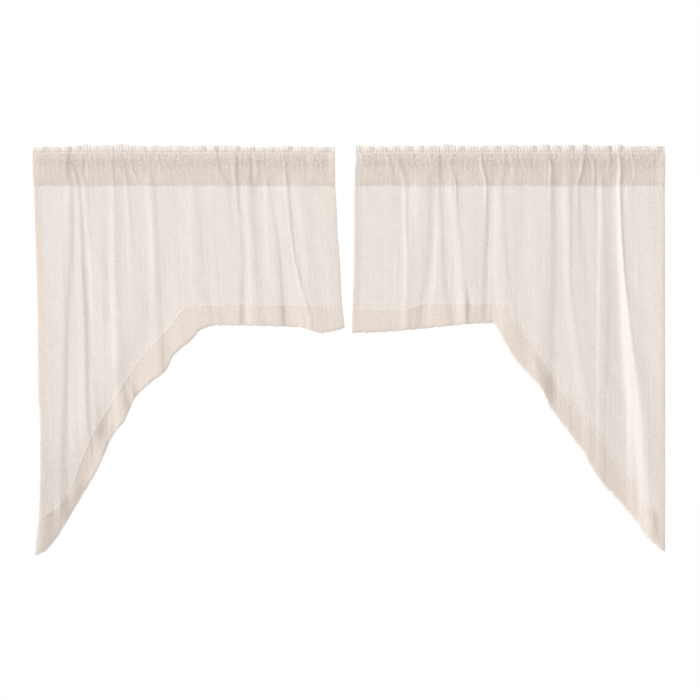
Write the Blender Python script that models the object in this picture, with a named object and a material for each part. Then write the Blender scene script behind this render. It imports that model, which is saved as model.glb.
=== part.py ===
"""Swag and tail drape: two gathered gauze panels, each on its own length of round rod.

The panels hang side by side with a narrow gap. Each is cut with one short side, at the gap, and one long
side that ends in a tail, and a slanted lower edge joins them. Its top is a rod pocket under a low ruffled
header. Heights are measured from the rod's axis, and widths from the middle of the pair. The front faces -Y.
All sizes in the tables are millimetres.
"""
import math

import bmesh
import bpy
import numpy as np

MM = 0.001

# cloth
CLOTH = 1.4             # one layer of gauze, as a solid
HEADER_CLOTH = 2.6      # front and back layers sewn together above the rod
HEM_CLOTH = 2.4         # folded hems along the sides and the lower edge
SIDE_HEM = 18.0         # width of a side hem
HEM_STEP = 3.0          # over which a hem thins down to one layer
FOLD_DEPTH = 1.5        # how much deeper the folds are than the stand written in the tables
ROUNDING = 4.0          # how far a crest or hollow starts to bend before its line
ROUNDING_SHARE = 0.3    # of the way to the next line, where that is nearer

# rod and pocket
ROD_RADIUS = 13.0
ROD_SIDES = 32
ROD_INSET = 3.0         # from the pocket's mouth to the rod's end
ROD_GAP = 2.0           # from the rod to one layer of the pocket; the thicker side hems stay clear too
HEADER_TOP = 28.5
HEADER_MIDDLE = 22.0
STITCH_LINE = 17.0      # joins the layers above the rod
POCKET_SEAM = -58.0     # joins the layers below it
HEADER_SHARE = 0.5      # of a fold's stand that is left in the stitched header
CREST_LIFT = 1.0        # how far a crest lifts the header's top edge, for each unit of its stand

# rows that wrap round the rod, as angles from its top
WRAP_ANGLES = (10.0, 40.0, 68.0, 95.0)
WRAP_SHARES = (0.5, 0.6, 0.8, 1.0)

# rows of the pocket that hang under the rod: height, how far out the wall is, share of a hollow it keeps
HANG_ROWS = ((-16.0, 13.8, 0.0), (-32.0, 9.6, 0.5), (-48.0, 5.0, 1.0))
BACK_SHARE = 0.5        # folds of the pocket's back wall are shallower than those of its front
POCKET_LEAST = 4.8      # least distance between the middles of the two walls

# rows of the single sheet between the seam and the hem, and within the hem
SHEET_ROWS = 7
HEM_ROWS = 2

# heights at which the folds' positions are given
LEVELS = (15.0, -58.0, -361.0, -587.0, -892.0)   # stitch, seam, short side, tail, tip

# Each row is a line that runs down the cloth: name, its x at the levels, and how far it stands in front of
# the panel's plane there. Lines that end on the short side have three levels. The cloth is straight between.
LEFT_FOLDS = (
    ("tail_edge", (-714, -712, -703, -696, -705), (0, 0, 1, 2, 2)),
    ("crest_a", (-637, -632, -643, -648, -653), (2, 6, 7, 7, 4)),
    ("hollow_a", (-631, -621, -627, -632, -636), (0, -3, -5, -5, -3)),
    ("crest_b", (-627, -613, -601, -595, -590), (3, 9, 8, 7, 5)),
    ("hollow_b", (-622, -606, -589, -580, -572), (0, -5, -6, -6, -4)),
    ("flat_b", (-595, -590, -575, -568, -562), (4, 1, 1, 1, 1)),
    ("hollow_c", (-554, -552, -549, -550, -550), (0, -2, -3, -3, -2)),
    ("crest_c", (-532, -532, -528, -528, -528), (4, 8, 9, 7, 6)),
    ("far_c", (-525, -519, -512, -508, -508), (0, -4, -6, -5, -4)),
    ("crest_d", (-509, -502, -492, -494, -494), (3, 5, 1, 1, 1)),
    ("far_d", (-499, -492, -480, -482, -482), (0, -1, -2, -2, -2)),
    ("hollow_e", (-491, -468, -465, -467, -467), (0, -3, -3, -3, -3)),
    ("crest_e", (-485, -449, -440, -442, -442), (4, 9, 9, 7, 7)),
    ("far_e", (-477, -434, -420, -423, -423), (0, -4, -5, -4, -4)),
    ("flat_f", (-436, -400, -395), (4, 1, 1)),
    ("crest_f", (-360, -354, -325), (2, 4, 5)),
    ("far_f", (-345, -337, -302), (0, -3, -4)),
    ("flat_g", (-294, -279, -270), (3, 3, 3)),
    ("crest_h", (-255, -255, -249), (6, 7, 5)),
    ("far_h", (-249, -247, -237), (0, -5, -6)),
    ("crest_i", (-225, -227, -215), (5, 4, 3)),
    ("far_i", (-215, -207, -192), (0, -2, -1)),
    ("crest_j", (-194, -185, -160), (3, 5, 4)),
    ("far_j", (-184, -175, -143), (0, -4, -5)),
    ("crest_k", (-147, -142, -90), (5, 11, 12)),
    ("far_k", (-140, -134, -78), (0, -4, -5)),
    ("flat_l", (-90, -86, -48), (3, 1, 1)),
    ("short_edge", (-33, -32, -12), (1, 1, 2)),
)
RIGHT_FOLDS = (
    ("short_edge", (15, 12, 7), (1, 0, 2)),
    ("flat_a", (47, 62, 69), (1, 1, 0)),
    ("hollow_a", (81, 103, 110), (1, -1, -2)),
    ("crest_a", (92, 125, 130), (4, 9, 8)),
    ("far_a", (99, 135, 142), (0, -4, -7)),
    ("rise_b", (160, 168, 152), (1, 2, -3)),
    ("hollow_b", (190, 187, 170), (2, -2, -6)),
    ("crest_b", (201, 201, 205), (5, 7, 6)),
    ("far_b", (208, 215, 238), (0, -3, -4)),
    ("crest_c", (218, 238, 260), (4, 6, 5)),
    ("far_c", (228, 248, 271), (0, -3, -5)),
    ("flat_d", (264, 273, 285), (1, 1, 1)),
    ("crest_d", (295, 307, 298), (5, 7, 5)),
    ("far_d", (302, 315, 310), (0, -4, -5)),
    ("crest_e", (348, 340, 354), (5, 5, 5)),
    ("far_e", (357, 356, 380), (0, -3, -4)),
    ("flat_f", (382, 395, 405, 405, 405), (3, 1, 1, 1, 1)),
    ("crest_g", (444, 454, 451, 446, 446), (4, 6, 5, 5, 5)),
    ("far_g", (452, 467, 467, 462, 462), (0, -5, -6, -5, -5)),
    ("crest_h", (498, 493, 506, 541, 548), (1, 6, 7, 6, 5)),
    ("far_h", (514, 505, 521, 553, 561), (0, -3, -2, -3, -3)),
    ("flat_i", (525, 516, 536, 560, 573), (4, 2, 0, 0, 0)),
    ("flat_j", (542, 552, 556, 568, 590), (4, 1, 1, 1, 1)),
    ("crest_k", (575, 570, 575, 577, 610), (2, 6, 5, 4, 3)),
    ("far_k", (583, 580, 592, 589, 622), (0, -3, -3, -2, -2)),
    ("hollow_l", (601, 597, 605, 609, 660), (0, -2, -4, -4, -3)),
    ("crest_l", (610, 611, 629, 659, 677), (6, 12, 13, 12, 5)),
    ("far_l", (617, 618, 641, 671, 684), (0, -4, -5, -5, -2)),
    ("flat_m", (638, 642, 662, 688, 692), (3, 2, 1, 0, 0)),
    ("tail_edge", (713, 713, 713, 714, 714), (0, 0, 0, 0, 0)),
)

# Lower edge and the hem's upper line, as x and height: uneven, because the folds shorten the slanted edge.
LEFT_EDGE = (
    (-706, -892), (-685, -875), (-658, -847), (-640, -820), (-595, -743), (-567, -695), (-536, -625),
    (-504, -583), (-486, -540), (-450, -504), (-414, -475), (-396, -440), (-360, -410), (-333, -382),
    (-296, -373), (-116, -377), (-62, -390), (-8, -379),
)
LEFT_HEM = (
    (-704, -813), (-642, -763), (-606, -677), (-574, -605), (-534, -542), (-479, -456), (-416, -385),
    (-360, -327), (-98, -325), (-8, -333),
)
RIGHT_EDGE = (
    (4, -390), (56, -389), (200, -377), (273, -370), (324, -368), (345, -402), (372, -447), (408, -488),
    (435, -520), (453, -558), (489, -607), (525, -655), (562, -718), (616, -777), (643, -810),
    (679, -853), (715, -880),
)
RIGHT_HEM = (
    (4, -336), (126, -335), (171, -323), (343, -323), (385, -375), (431, -434), (489, -528), (566, -623),
    (611, -695), (670, -777), (715, -801),
)


def clear_scene():
    for thing in list(bpy.data.objects):
        bpy.data.objects.remove(thing, do_unlink=True)


def plain_material(name, colour, roughness, metallic=0.0):
    material = bpy.data.materials.new(name)
    material.use_nodes = True
    shader = material.node_tree.nodes["Principled BSDF"]
    shader.inputs["Base Color"].default_value = (*colour, 1.0)
    shader.inputs["Roughness"].default_value = roughness
    shader.inputs["Metallic"].default_value = metallic
    return material


def at_height(values, height):
    """A fold line's value at a height, from its values at the levels."""
    return float(np.interp(-height, [-level for level in LEVELS], values))


def between(points, x):
    """The height of a line of points at x."""
    return float(np.interp(x, [point[0] for point in points], [point[1] for point in points]))


def full_length(values):
    """A line that ends on the short side, carried on straight down so that it has every level."""
    return values + (values[-1],) * (len(LEVELS) - len(values))


def towards(line, neighbour):
    """A line a little way from a fold line to its neighbour, at every level."""
    name, places, stands = line
    _, next_places, next_stands = neighbour
    gap = abs(next_places[1] - places[1])
    share = min(ROUNDING / gap, ROUNDING_SHARE)
    moved = [a + share * (b - a) for a, b in zip(places, next_places)]
    stood = [a + share * (b - a) for a, b in zip(stands, next_stands)]
    return (name, tuple(moved), tuple(stood))


def rounded(folds):
    """The fold lines with each crest and hollow cut off by two lines, so that the cloth bends there."""
    lines = [(name, full_length(places), full_length(stands)) for name, places, stands in folds]
    result = [lines[0]]
    for before, line, after in zip(lines, lines[1:], lines[2:]):
        if line[0].startswith("flat"):
            result.append(line)
        else:
            result.extend((towards(line, before), towards(line, after)))
    return [*result, lines[-1]]


def with_side_hems(lines):
    """The lines with two more beside each outer one: a side hem's inner line, and where it has thinned."""
    hems = []
    for edge, sign in ((lines[0], 1), (lines[-1], -1)):
        name, places, stands = edge
        for suffix, inset in (("hem", SIDE_HEM), ("thin", SIDE_HEM + HEM_STEP)):
            hems.append((f"{name}_{suffix}", tuple(x + sign * inset for x in places), stands))
    return [lines[0], hems[0], hems[1], *lines[1:-1], hems[3], hems[2], lines[-1]]


def height_on(line, points):
    """Where a fold line that runs down the cloth meets a line of points."""
    height = points[len(points) // 2][1]
    for _ in range(30):
        height = 0.5 * (height + between(points, at_height(line[1], height)))
    return height


def front_column(line, edge_points, hem_points):
    """Points down the front sheet along one fold line, from the header's top edge to the lower edge."""
    _, places, stands = line
    at_stitch = stands[0] * FOLD_DEPTH
    header_y = -HEADER_SHARE * at_stitch
    points = []
    for height in (HEADER_TOP + CREST_LIFT * stands[0], HEADER_MIDDLE, STITCH_LINE):
        points.append((places[0], header_y, height))
    radius = ROD_RADIUS + ROD_GAP + CLOTH / 2
    for angle, share in zip(WRAP_ANGLES, WRAP_SHARES):
        height = radius * math.cos(math.radians(angle))
        out = radius * math.sin(math.radians(angle))
        stand = max(at_height(stands, height), 0.0) * FOLD_DEPTH * share
        points.append((at_height(places, height), -out - stand, height))
    for height, out, hollow_share in HANG_ROWS:
        stand = at_height(stands, height) * FOLD_DEPTH
        stand = max(stand, 0.0) + hollow_share * min(stand, 0.0)
        points.append((at_height(places, height), -out - stand, height))
    hem = height_on(line, hem_points)
    edge = height_on(line, edge_points)
    heights = [*np.linspace(POCKET_SEAM, hem + HEM_STEP, SHEET_ROWS), *np.linspace(hem, edge, HEM_ROWS)]
    for height in heights:
        points.append((at_height(places, height), -at_height(stands, height) * FOLD_DEPTH, float(height)))
    return points


def back_column(line, front):
    """Points down the pocket's back wall, behind the same rows of the front sheet."""
    _, places, stands = line
    points = []
    radius = ROD_RADIUS + ROD_GAP + CLOTH / 2
    row = HEADER_ROWS
    for angle, share in zip(WRAP_ANGLES, WRAP_SHARES):
        x, _, height = front[row]
        stand = max(at_height(stands, height), 0.0) * FOLD_DEPTH * share * BACK_SHARE
        out = radius * math.sin(math.radians(angle))
        points.append((x, out + (stand if row > HEADER_ROWS else 0.0), height))
        row += 1
    for height, out, _ in HANG_ROWS:
        x, front_y, _ = front[row]
        stand = max(at_height(stands, height), 0.0) * FOLD_DEPTH * BACK_SHARE
        nearness = (height - POCKET_SEAM) / (HANG_ROWS[0][0] - POCKET_SEAM)
        y = nearness * (out + stand) + (1.0 - nearness) * (front_y + POCKET_LEAST)
        points.append((x, max(y, front_y + POCKET_LEAST), height))
        row += 1
    return points


def mitred_normals(grid):
    """Normals of a grid of points, facing -Y, lengthened at sharp folds so that the cloth stays as thick."""
    down = np.gradient(grid, axis=0)
    steps = np.diff(grid, axis=1)
    before = np.concatenate([steps[:, :1], steps], axis=1)
    after = np.concatenate([steps, steps[:, -1:]], axis=1)
    sides = []
    for step in (before, after):
        normal = np.cross(step, down)
        normal /= np.linalg.norm(normal, axis=2, keepdims=True)
        sides.append(normal * np.where(normal[..., 1:2] > 0.0, -1.0, 1.0))
    middle = sides[0] + sides[1]
    middle /= np.linalg.norm(middle, axis=2, keepdims=True)
    lean = np.sum(middle * sides[0], axis=2, keepdims=True)
    return middle / np.maximum(lean, 0.6)


HEADER_ROWS = 3
POCKET_ROWS = len(WRAP_ANGLES) + len(HANG_ROWS)
SEAM_ROW = HEADER_ROWS + POCKET_ROWS
LAST_ROW = SEAM_ROW + SHEET_ROWS + HEM_ROWS - 1


def cloth_thickness(row, column, last_column):
    if row < HEADER_ROWS:
        return HEADER_CLOTH
    in_side_hem = column <= 1 or column >= last_column - 1
    in_lower_hem = row > LAST_ROW - HEM_ROWS
    return HEM_CLOTH if in_side_hem or in_lower_hem else CLOTH


def panel_mesh(name, folds, edge_points, hem_points):
    """One closed solid: a sheet with a tunnel for the rod between its front and back walls."""
    lines = with_side_hems(rounded(folds))
    fronts = [front_column(line, edge_points, hem_points) for line in lines]
    backs = [back_column(line, front) for line, front in zip(lines, fronts)]
    front = np.array(fronts).transpose(1, 0, 2)
    back = np.array(backs).transpose(1, 0, 2)
    front_normals = mitred_normals(front)
    back_normals = mitred_normals(back)
    columns = len(lines)

    mesh = bmesh.new()

    def vertex(point):
        return mesh.verts.new([float(value) * MM for value in point])

    skins = []
    for column in range(columns):
        outer_front, inner_front, outer_back, inner_back = {}, {}, {}, {}
        for row in range(LAST_ROW + 1):
            point, normal = front[row, column], front_normals[row, column]
            thick = cloth_thickness(row, column, columns - 1)
            outer_front[row] = vertex(point + normal * CLOTH / 2)
            inside = vertex(point - normal * (thick - CLOTH / 2))
            if HEADER_ROWS <= row < SEAM_ROW:
                inner_front[row] = inside
                back_point = back[row - HEADER_ROWS, column]
                back_normal = back_normals[row - HEADER_ROWS, column]
                inner_back[row] = vertex(back_point + back_normal * (thick - CLOTH / 2))
                outer_back[row] = vertex(back_point - back_normal * CLOTH / 2)
            else:
                outer_back[row] = inside
        skins.append((outer_front, inner_front, outer_back, inner_back))

    def strip(first, second, rows):
        for row in rows:
            mesh.faces.new((first[row], second[row], second[row + 1], first[row + 1]))

    for left, right in zip(skins, skins[1:]):
        strip(left[0], right[0], range(LAST_ROW))
        strip(right[2], left[2], range(LAST_ROW))
        strip(right[1], left[1], range(HEADER_ROWS, SEAM_ROW - 1))
        strip(left[3], right[3], range(HEADER_ROWS, SEAM_ROW - 1))
        mesh.faces.new((left[2][0], right[2][0], right[0][0], left[0][0]))
        mesh.faces.new((left[0][LAST_ROW], right[0][LAST_ROW], right[2][LAST_ROW], left[2][LAST_ROW]))
        first = HEADER_ROWS
        mesh.faces.new((left[1][first], right[1][first], right[3][first], left[3][first]))
        last = SEAM_ROW - 1
        mesh.faces.new((right[1][last], left[1][last], left[3][last], right[3][last]))

    for outer_front, inner_front, outer_back, inner_back in (skins[0], skins[-1]):
        for row in (*range(HEADER_ROWS - 1), *range(SEAM_ROW, LAST_ROW)):
            mesh.faces.new((outer_front[row], outer_front[row + 1], outer_back[row + 1], outer_back[row]))
        for row in range(HEADER_ROWS, SEAM_ROW - 1):
            mesh.faces.new((outer_front[row], outer_front[row + 1], inner_front[row + 1], inner_front[row]))
            mesh.faces.new((inner_back[row], inner_back[row + 1], outer_back[row + 1], outer_back[row]))
        for join, pocket in ((HEADER_ROWS - 1, HEADER_ROWS), (SEAM_ROW, SEAM_ROW - 1)):
            mesh.faces.new((outer_front[join], outer_front[pocket], inner_front[pocket]))
            mesh.faces.new((outer_front[join], inner_front[pocket], inner_back[pocket]))
            mesh.faces.new((outer_front[join], inner_back[pocket], outer_back[join]))
            mesh.faces.new((outer_back[join], inner_back[pocket], outer_back[pocket]))

    bmesh.ops.recalc_face_normals(mesh, faces=mesh.faces)
    bmesh.ops.triangulate(mesh, faces=mesh.faces)
    data = bpy.data.meshes.new(name)
    mesh.to_mesh(data)
    mesh.free()
    return data


def add_panel(name, folds, edge_points, hem_points, material):
    data = panel_mesh(name, folds, edge_points, hem_points)
    data.materials.append(material)
    data.shade_smooth()
    data.set_sharp_from_angle(angle=math.radians(40.0))
    panel = bpy.data.objects.new(name, data)
    bpy.context.collection.objects.link(panel)


def add_rod(name, folds, material):
    """A round rod along X, just inside both mouths of its panel's pocket."""
    start = (folds[0][1][0] + ROD_INSET) * MM
    end = (folds[-1][1][0] - ROD_INSET) * MM
    bpy.ops.mesh.primitive_cylinder_add(
        vertices=ROD_SIDES, radius=ROD_RADIUS * MM, depth=end - start,
        location=((start + end) / 2, 0.0, 0.0), rotation=(0.0, math.pi / 2, 0.0))
    rod = bpy.context.object
    rod.name = name
    rod.data.name = name
    rod.data.materials.append(material)
    rod.data.shade_smooth()
    rod.data.set_sharp_from_angle(angle=math.radians(40.0))


def main():
    clear_scene()
    gauze = plain_material("gauze", (0.80, 0.74, 0.68), 0.9)
    paint = plain_material("rod_paint", (0.62, 0.62, 0.61), 0.45)
    add_panel("left_panel", LEFT_FOLDS, LEFT_EDGE, LEFT_HEM, gauze)
    add_panel("right_panel", RIGHT_FOLDS, RIGHT_EDGE, RIGHT_HEM, gauze)
    add_rod("left_rod", LEFT_FOLDS, paint)
    add_rod("right_rod", RIGHT_FOLDS, paint)


main()
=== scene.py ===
"""Looks of the swag and tail drape: two gathered panels of open gauze, each on a length of round rod.

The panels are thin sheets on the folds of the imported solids. Heights are measured from the rods' axis and
widths from the middle of the pair. The front faces -Y. Sizes are millimetres down to the stitching, and
metres from the materials on.
"""
import math
from typing import NamedTuple

import bpy
import numpy as np
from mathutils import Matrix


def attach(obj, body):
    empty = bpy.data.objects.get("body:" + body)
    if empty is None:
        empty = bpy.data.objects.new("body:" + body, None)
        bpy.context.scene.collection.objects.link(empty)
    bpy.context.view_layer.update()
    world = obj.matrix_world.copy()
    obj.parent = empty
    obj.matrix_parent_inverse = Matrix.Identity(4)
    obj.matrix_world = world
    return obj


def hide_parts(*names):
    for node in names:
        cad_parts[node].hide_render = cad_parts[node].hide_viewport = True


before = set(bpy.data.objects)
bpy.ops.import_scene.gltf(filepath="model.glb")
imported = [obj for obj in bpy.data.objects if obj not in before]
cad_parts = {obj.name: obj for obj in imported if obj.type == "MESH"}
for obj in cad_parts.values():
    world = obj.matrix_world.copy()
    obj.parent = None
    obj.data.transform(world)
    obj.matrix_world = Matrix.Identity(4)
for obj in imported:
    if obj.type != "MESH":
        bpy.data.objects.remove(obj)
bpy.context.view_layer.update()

MM = 0.001

# -------- cloth sizes

PANEL_WIDTH = 914.0      # finished width of a panel before it is gathered
LAYER = 0.9              # distance between the middles of two layers sewn together
SIDE_HEM = 18.0
HEM_STEP = 0.28          # how far a hem stands out of the single cloth in front
POCKET_STEP = 0.7        # the same for the pocket's doubled cloth above its seam
STEP_RUN = 2.0           # height over which such a step comes out
HEM_RIDGE = 0.2          # how much further the turned-in edge along the hem's top stands out
RIDGE_DROP = 2.0         # how far below the hem's top that edge lies
RIDGE_WIDTH = 1.8
EDGE_ROLL = 1.8          # how far the lower edge curls back over its last few millimetres
EDGE_ROLL_HEIGHT = 5.0
EDGE_WAVER = 1.2         # how far the lower edge strays up and down between the outline's points

FOLD_DEPTH = 0.54        # the folds' slopes, as a share of those in the tables
FOLD_REACH = 90.0        # distance over which the cloth beside a fold settles back to the panel's plane
FOLD_TOP = 20.0          # the folds are worked out from this height
FOLD_FOOT = -904.0       # to this one, past the tips of the tails

ROD_RADIUS = 13.0
ROD_CLEARANCE = 0.7      # least distance between the rod and the cloth's middle
POCKET_RADIUS = 15.3     # how far out the cloth's middle is beside the rod
POCKET_TOP = 16.9        # height at which the wrap would close over the rod
POCKET_SEAM = -58.0
POCKET_BELLY = 0.8       # how the pocket narrows down to its seam: 1 is straight and less is fuller
SEAM_SPREAD = 36.0       # height above the seam over which the pocket's two walls come apart
STITCH_LINE = 16.0

SOFTNESS = 2.0           # how gently the proud side of a fold sets in at the panel's plane
PROUD_LOST = 0.35        # share of a proud fold that is lost over the top of the rod
HOLLOW_LOST = 0.5        # share of a hollow that the rod fills
HOLLOW_FOOT = -50.0      # the rod begins to fill hollows at this height
HOLLOW_RUN = 36.0        # and has done so over this much more
BACK_STAND = 0.4         # share of a proud fold that the pocket's back follows
BACK_RELIEF = 0.6        # share of the front's unevenness that the back has
BACK_SHIFT = 300.0       # the back's unevenness is that of the front this far along

SLACK = 1.3              # depth of the broad slack in the hung cloth
UPRIGHT = 0.15           # depth of its fine upright creases
FINE_CRINKLE = 0.5       # depth of the small wrinkles in the cloth gathered on the rod
BROAD_CRINKLE = 0.35     # depth of the larger ones
CRINKLE_DRIFT = 3.0      # how far those wrinkles stray sideways
CRINKLE_FOOT = -45.0     # they begin at this height
CRINKLE_RUN = 40.0       # and are full over this much more

HEADER_BASE = 16.6       # lowest row of the header, at the stitch line
HEADER_SHARE = 0.5       # of a fold's stand that is left in the stitched header
HEADER_OUT = 1.6         # how far the stitch line stands in front of the rod's axis
HEADER_GAP = 0.35        # half the least gap between the header's two layers
HEADER_SWAY = 1.4        # how far the header leans forward and back along its top
HEADER_WRINKLE = 0.9
PINCH_BULGE = 0.3        # how far each layer bulges at a pinch
CROWN_BULGE = 1.1        # and how much further at a puff's crown
BULGE_HEIGHT = 1.4       # above 1, the bulge is fullest nearer the header's top
PUFF_ROUND = 0.35        # how quickly a puff rises from its pinch: 1 is a half wave and less is squarer

TUCK_REACH = 4.0         # how many of its widths a tuck's step takes to die away beside it

# lengths of the waves in the cloth's unevenness, across the cloth
SLACK_WAVES = (97.0, 151.0, 61.0)
UPRIGHT_WAVES = (23.0, 31.0, 14.5)
FINE_WAVES = (6.3, 8.1, 10.7)
BROAD_WAVES = (15.0, 21.0)
PUCKER_WAVES = (7.3, 9.1, 12.7)
EDGE_WAVES = (19.0, 27.0, 43.0)
SWAY_WAVES = (37.0, 53.0)
WRINKLE_WAVES = (4.7, 6.9, 9.7)
# and of those by which it changes down the cloth
SLACK_DOWN = (260.0, 170.0)
UPRIGHT_DOWN = (310.0,)
FINE_DOWN = (17.0, 29.0)
BROAD_DOWN = (41.0,)
DRIFT_DOWN = (23.0, 37.0)


class Face(NamedTuple):
    """One slanting face of a fold. A positive slope comes forward to the right, a negative one goes back."""

    name: str
    half_width: float
    x: tuple        # at each level
    slope: tuple    # at each level


# heights at which a face's x and slope are given
LEVELS = (15.0, -20.0, -58.0, -140.0, -230.0, -361.0, -587.0, -720.0, -892.0)

LEFT_FACES = (
    Face("edge_turn", 24, (-660, -660, -660, -658, -660, -665, -673, -672, -674),
         (0, 0, .12, .14, .06, -.1, -.5, -1.05, -1.5)),
    Face("tail_turn", 24, (-610, -610, -610, -610, -610, -610, -610, -610, -610),
         (0, 0, 0, 0, 0, -.1, -.4, -.9, -1.2)),
    Face("low_broad_fall", 30, (-440, -440, -440, -440, -450, -468, -565, -620, -640),
         (0, 0, 0, 0, -.05, -.35, -.45, -.15, 0)),
    Face("a_rise", 5, (-635, -635, -636, -642, -651, -658), (0, 0, .45, .15, .05, 0)),
    Face("a_pocket", 2.4, (-633, -635, -633), (-.9, -1.4, 0)),
    Face("a_fall", 5.5, (-627, -627, -627, -626, -629, -637, -643, -646, -648),
         (0, -.1, -.45, -.65, -.65, -.7, -1.1, -1.6, -1.4)),
    Face("b_rise", 6, (-622, -622, -616, -614, -611, -607, -605, -603, -601),
         (0, .15, .32, .38, .33, .2, .35, .2, .3)),
    Face("b_fall", 3.5, (-628, -619, -610, -604, -601, -595, -589, -575, -574),
         (-.5, -1.2, -.8, -.7, -1, -1.3, -1.1, -.15, 0)),
    Face("b_low_fall", 9, (-590, -590, -590, -590, -590, -582, -567, -560, -560),
         (0, 0, 0, 0, 0, -.15, -.5, -.1, 0)),
    Face("b_pocket", 2.4, (-592, -600, -601), (-.8, -.8, 0)),
    Face("c_pocket", 2.4, (-595, -592, -586), (.4, .5, 0)),
    Face("c_rise", 4.5, (-604, -604, -602, -596, -588, -581, -563), (0, 0, .4, .4, .35, .32, 0)),
    Face("c_fall", 4, (-592, -592, -591, -587, -581), (0, 0, -.4, -.25, 0)),
    Face("d_fall", 4, (-556, -556, -556, -555, -550, -551, -556), (0, 0, -.03, -.15, -.22, -.18, -.05)),
    Face("e_rise", 5, (-540, -540, -537, -537, -537, -534, -528), (0, .1, .45, .52, .52, .5, .25)),
    Face("e_pocket", 2.4, (-531, -531, -529, -529), (-.5, -.9, -.3, 0)),
    Face("e_fall", 8, (-525, -525, -525, -523, -521, -517, -507), (0, 0, -.28, -.32, -.3, -.45, -.35)),
    Face("f_pocket", 2.4, (-512, -505, -500), (-.35, -.95, 0)),
    Face("f_rise", 5, (-504, -504, -506, -500, -500), (0, 0, .45, .25, 0)),
    Face("f_fall", 4, (-499, -499, -498, -492, -486, -482), (0, 0, -.45, -.32, -.12, 0)),
    Face("g_pocket_rise", 2.4, (-495, -491, -475), (.3, .8, 0)),
    Face("g_pocket_fall", 2.4, (-492, -486, -473), (-.7, -.8, 0)),
    Face("g_rise", 6, (-455, -455, -458, -450, -447, -450, -457), (0, .1, .35, .5, .42, .15, 0)),
    Face("g_fall", 5, (-452, -449, -441, -436, -432, -426, -414), (0, -.15, -.45, -.45, -.45, -.42, -.3)),
    Face("h_pocket", 2.6, (-439, -430, -423), (.1, .65, 0)),
    Face("i_rise", 8, (-362, -362, -360, -359, -357, -346), (0, 0, .2, .17, .15, .03)),
    Face("i_fall", 8, (-346, -346, -346, -338, -330, -312), (0, 0, -.26, -.27, -.26, -.3)),
    Face("j_rise", 4, (-319, -319, -319, -324), (0, 0, .2, 0)),
    Face("j_pocket", 2.4, (-299, -291, -276, -274), (-.7, -.85, -.15, 0)),
    Face("k_wide_fall", 5, (-274, -274, -272, -265, -258), (0, 0, -.3, -.2, 0)),
    Face("k_rise", 3, (-265, -262, -259, -254, -250), (0, .6, .3, .1, 0)),
    Face("k_pocket", 2.6, (-253, -254, -252, -250), (-.8, -1.7, -.9, 0)),
    Face("k_fall", 4.5, (-251, -251, -251, -245, -240, -244), (0, 0, -.3, -.55, -.55, -.55)),
    Face("l_rise", 6, (-244, -244, -242, -231, -227, -226), (0, 0, .25, .38, .45, .4)),
    Face("l_pocket_fall", 3, (-224, -222, -223, -222), (-.8, -1.3, -.4, 0)),
    Face("l_pocket_rise", 3, (-217, -213, -215), (.4, .95, 0)),
    Face("l_second_fall", 2.6, (-206, -204, -204), (-.3, -.5, 0)),
    Face("l_fall", 7, (-217, -217, -217, -216, -209, -198), (0, 0, -.38, -.38, -.35, -.12)),
    Face("m_rise", 5, (-190, -190, -190, -188, -182, -168), (0, .1, .5, .35, .28, .05)),
    Face("m_fall", 4.5, (-181, -181, -181, -168, -156, -148), (0, 0, -.3, -.42, -.6, -.75)),
    Face("n_wide_rise", 16, (-154, -154, -154, -149, -138, -114), (0, 0, .25, .22, .2, .28)),
    Face("n_rise", 3, (-151, -147, -145, -137, -126, -93), (.3, .7, .4, .4, .4, .3)),
    Face("n_fall", 2.5, (-147, -143, -138, -131, -119, -83), (-.6, -.8, -.9, -.9, -.7, -.25)),
    Face("o_rise", 7, (-125, -125, -124, -115, -102, -98), (0, 0, .3, .26, .08, 0)),
    Face("o_pocket", 2.6, (-93, -89, -89), (.3, .7, 0)),
    Face("o_fall", 12, (-91, -91, -91, -93, -84, -66), (0, 0, -.08, -.07, -.1, -.05)),
)
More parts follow.
